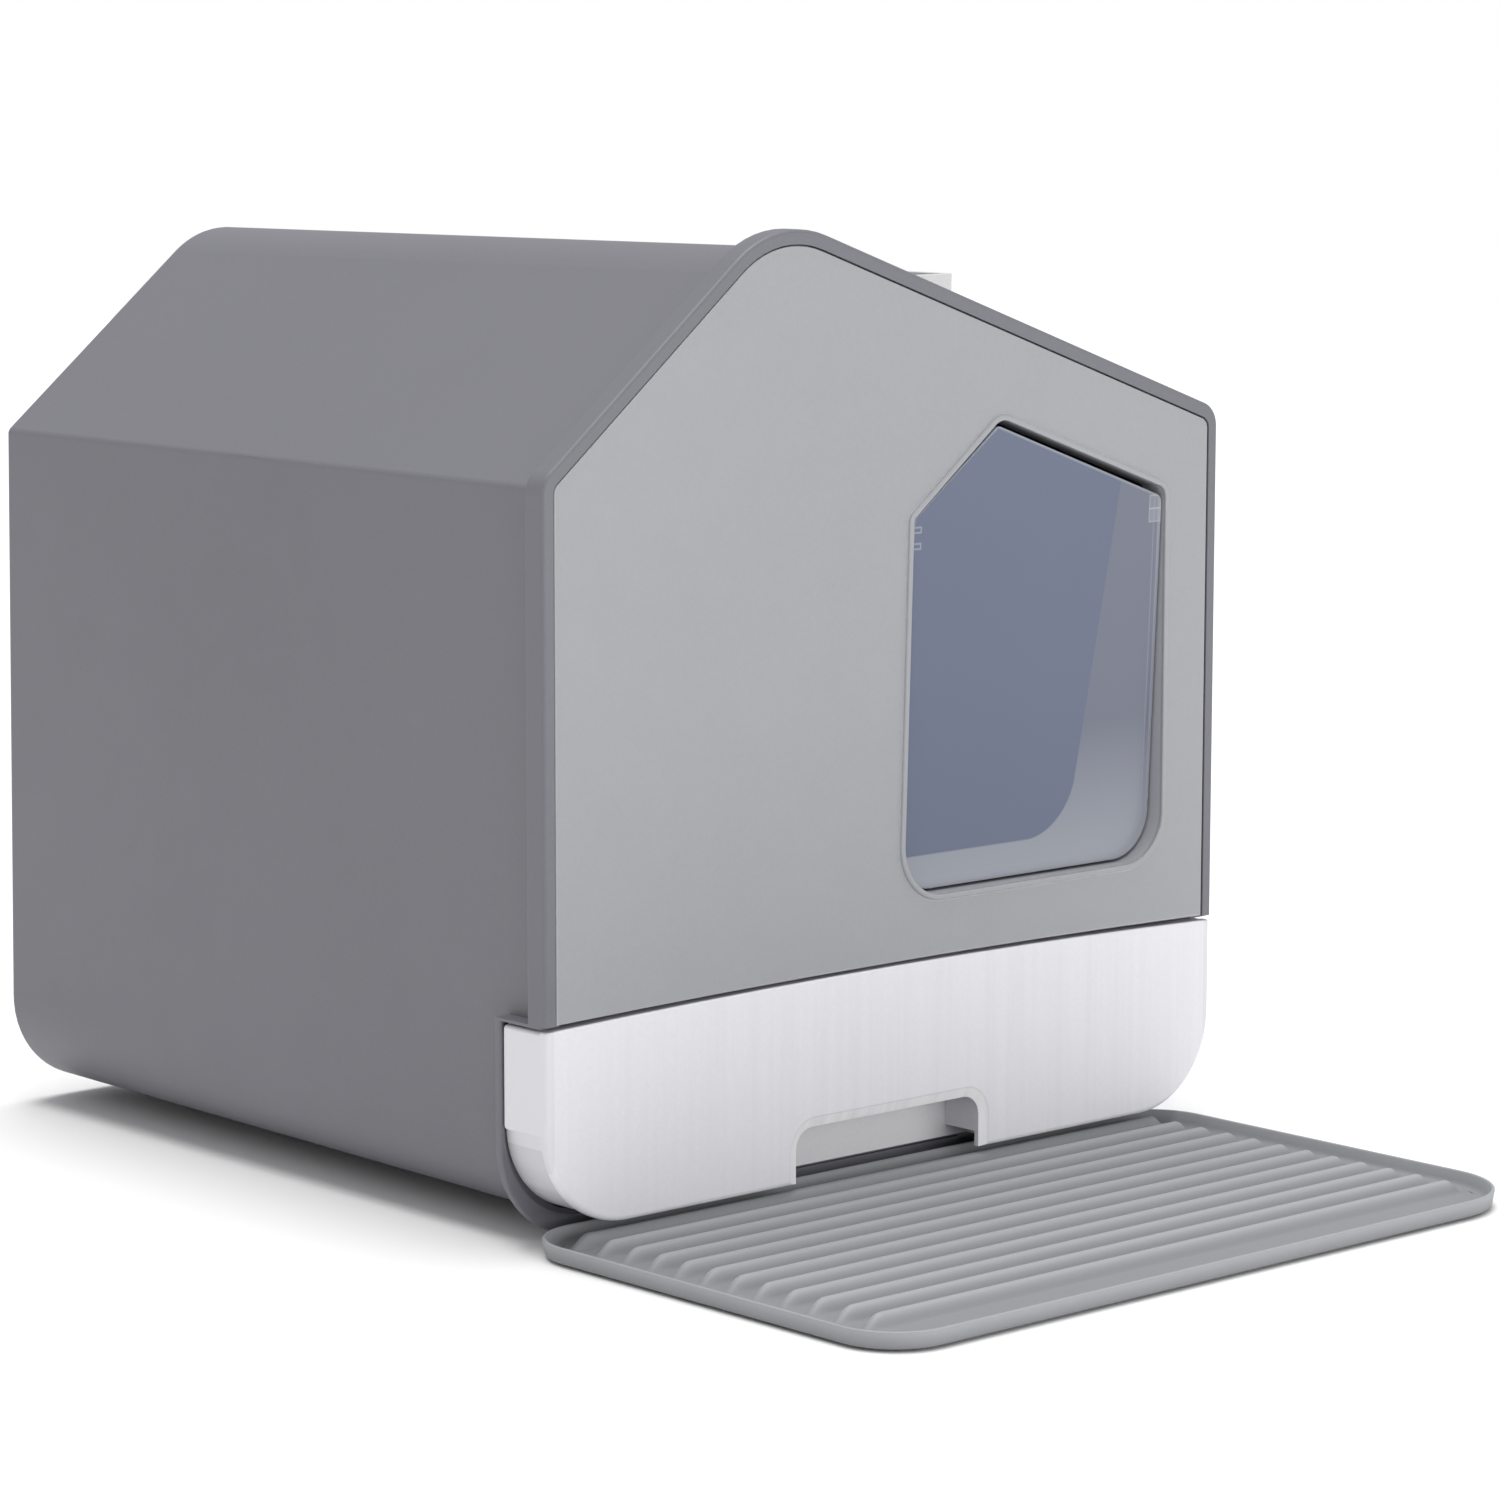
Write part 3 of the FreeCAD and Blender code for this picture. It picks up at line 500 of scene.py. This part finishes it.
def dress_nodes():
    for node, key in FINISH.items():
        slots = NODES[node].data.materials
        slots.clear()
        slots.append(MATERIALS[key])


# ---------------------------------------------------------------- mat
MAT_X = (-213.0, 193.0)
MAT_Y = (-218.0, 20.0)
MAT_RADII = (44.0, 30.0, 30.0, 30.0)
MAT_FLOOR = 2.5
CORNER_STEPS = 12
# rolled rim from the underside outwards, over the top and down to the floor: inset and height
RIM_SECTION = ((12.0, 1.0), (3.2, 1.0), (2.3, 1.1), (1.6, 1.45), (1.2, 2.1), (0.9, 3.6), (0.15, 8.0),
               (0.12, 8.5), (0.4, 8.87), (0.9, 9.0), (1.4, 8.87), (1.7, 8.5), (1.95, 7.8), (3.3, 4.7),
               (3.9, 3.7), (4.7, 3.0), (5.8, 2.6), (7.2, 2.5))

RIDGE_COUNT = 12
RIDGE_PITCH = 16.8
RIDGE_FIRST = 4.0
RIDGE_LIFT = 5.6
RIDGE_HALF = 6.9
RIDGE_LEFT = -198.0
RIDGE_RIGHT = 183.0
LEFT_RAMP = 15.0
RIGHT_RAMP = 9.0
LEFT_HOOK = 3.6
RIGHT_HOOK = 2.4
END_WIDTH = 0.45
CREST_FLAT = 0.1

GRID_END_CELLS = 17
GRID_MIDDLE_START = -181
GRID_MIDDLE_STEP = 8.5
GRID_MIDDLE_CELLS = 40
GRID_ROW = 1.05


def clamp(t):
    return max(0.0, min(1.0, t))


def smoothstep(t):
    t = clamp(t)
    return t * t * (3 - 2 * t)


def rounded_rect(inset):
    """Points round the mat's outline (front right first), moved inwards by inset."""
    points = []
    for k, (sx, sy) in enumerate(((1, -1), (1, 1), (-1, 1), (-1, -1))):
        cx = MAT_X[sx > 0] - sx * MAT_RADII[k]
        cy = MAT_Y[sy > 0] - sy * MAT_RADII[k]
        for i in range(CORNER_STEPS + 1):
            a = math.radians(-90 + 90 * k + 90 * i / CORNER_STEPS)
            reach = MAT_RADII[k] - inset
            points.append((cx + reach * math.cos(a), cy + reach * math.sin(a)))
    return points


def mat_height(x, y):
    """Height of the ridged floor: rounded ridges with sloping, hooked ends."""
    start = clamp((x - RIDGE_LEFT) / LEFT_RAMP)
    stop = clamp((RIDGE_RIGHT - x) / RIGHT_RAMP)
    hook = LEFT_HOOK * (1 - start) ** 2 + RIGHT_HOOK * (1 - stop) ** 2
    half = RIDGE_HALF
    for end in (start, stop):
        half *= END_WIDTH + (1 - END_WIDTH) * smoothstep(end)
    k = round((RIDGE_FIRST - hook - y) / RIDGE_PITCH)
    k = max(0, min(RIDGE_COUNT - 1, k))
    t = abs(y - (RIDGE_FIRST - hook - k * RIDGE_PITCH)) / half
    if t >= 1:
        return MAT_FLOOR
    swell = 1 - smoothstep((t - CREST_FLAT) / (1 - CREST_FLAT))
    return MAT_FLOOR + RIDGE_LIFT * swell * smoothstep(start) * smoothstep(stop)


def rim_mesh(verts, faces):
    rings = []
    for inset, z in RIM_SECTION:
        ring = rounded_rect(inset)
        rings.append(range(len(verts), len(verts) + len(ring)))
        verts += [(x, y, z) for x, y in ring]
    for a, b in zip(rings, rings[1:]):
        n = len(a)
        faces += [(a[i], a[(i + 1) % n], b[(i + 1) % n], b[i]) for i in range(n)]
    faces.append(tuple(rings[0]))


def ridge_mesh(verts, faces):
    """Ridged floor as a grid, dense across the ridges and at their ends."""
    xs = [RIDGE_LEFT - 1 + i for i in range(GRID_END_CELLS)]
    xs += [GRID_MIDDLE_START + i * GRID_MIDDLE_STEP for i in range(1, GRID_MIDDLE_CELLS)]
    xs += [RIDGE_RIGHT - 15 + i for i in range(GRID_END_CELLS)]
    xs = sorted(set(round(x, 3) for x in xs))
    last = RIDGE_FIRST - (RIDGE_COUNT - 1) * RIDGE_PITCH
    low, high = last - RIDGE_HALF - 1.6, RIDGE_FIRST + RIDGE_HALF + 0.2
    rows = int((high - low) / GRID_ROW)
    ys = [low + (high - low) * i / rows for i in range(rows + 1)]
    start = len(verts)
    nx = len(xs)
    for y in ys:
        verts += [(x, y, mat_height(x, y)) for x in xs]
    for j in range(rows):
        for i in range(nx - 1):
            a = start + j * nx + i
            faces.append((a, a + 1, a + nx + 1, a + nx))


def close_floor(mesh):
    """Merge doubled points and fill the plain floor between the ridges and the rim."""
    bm = bmesh.new()
    bm.from_mesh(mesh)
    bmesh.ops.remove_doubles(bm, verts=bm.verts, dist=0.000005)
    bmesh.ops.recalc_face_normals(bm, faces=bm.faces)
    open_edges = [e for e in bm.edges if e.is_boundary]
    bmesh.ops.triangle_fill(bm, use_beauty=True, use_dissolve=False, edges=open_edges)
    bmesh.ops.recalc_face_normals(bm, faces=bm.faces)
    for face in bm.faces:
        face.smooth = True
    bm.to_mesh(mesh)
    bm.free()


def make_mat():
    verts, faces = [], []
    rim_mesh(verts, faces)
    ridge_mesh(verts, faces)
    mesh = bpy.data.meshes.new("mat_sheet")
    mesh.from_pydata([world(*v) for v in verts], [], faces)
    mesh.validate()
    close_floor(mesh)
    mesh.materials.append(MATERIALS["mat"])
    obj = bpy.data.objects.new("mat_sheet", mesh)
    bpy.context.scene.collection.objects.link(obj)
    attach(obj, "mat")
    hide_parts("step_mat")


def make_floor():
    mesh = bpy.data.meshes.new("floor")
    corners = [(sx * FLOOR_HALF, sy * FLOOR_HALF, 0) for sx, sy in ((-1, -1), (1, -1), (1, 1), (-1, 1))]
    mesh.from_pydata(corners, [], [(0, 1, 2, 3)])
    mesh.materials.append(floor_finish("floor_paper"))
    obj = bpy.data.objects.new("floor", mesh)
    bpy.context.scene.collection.objects.link(obj)


dress_nodes()
make_camera()
bpy.context.scene.view_settings.view_transform = "Standard"
make_sky()
make_key()
make_overhead()
make_floor()
make_mat()
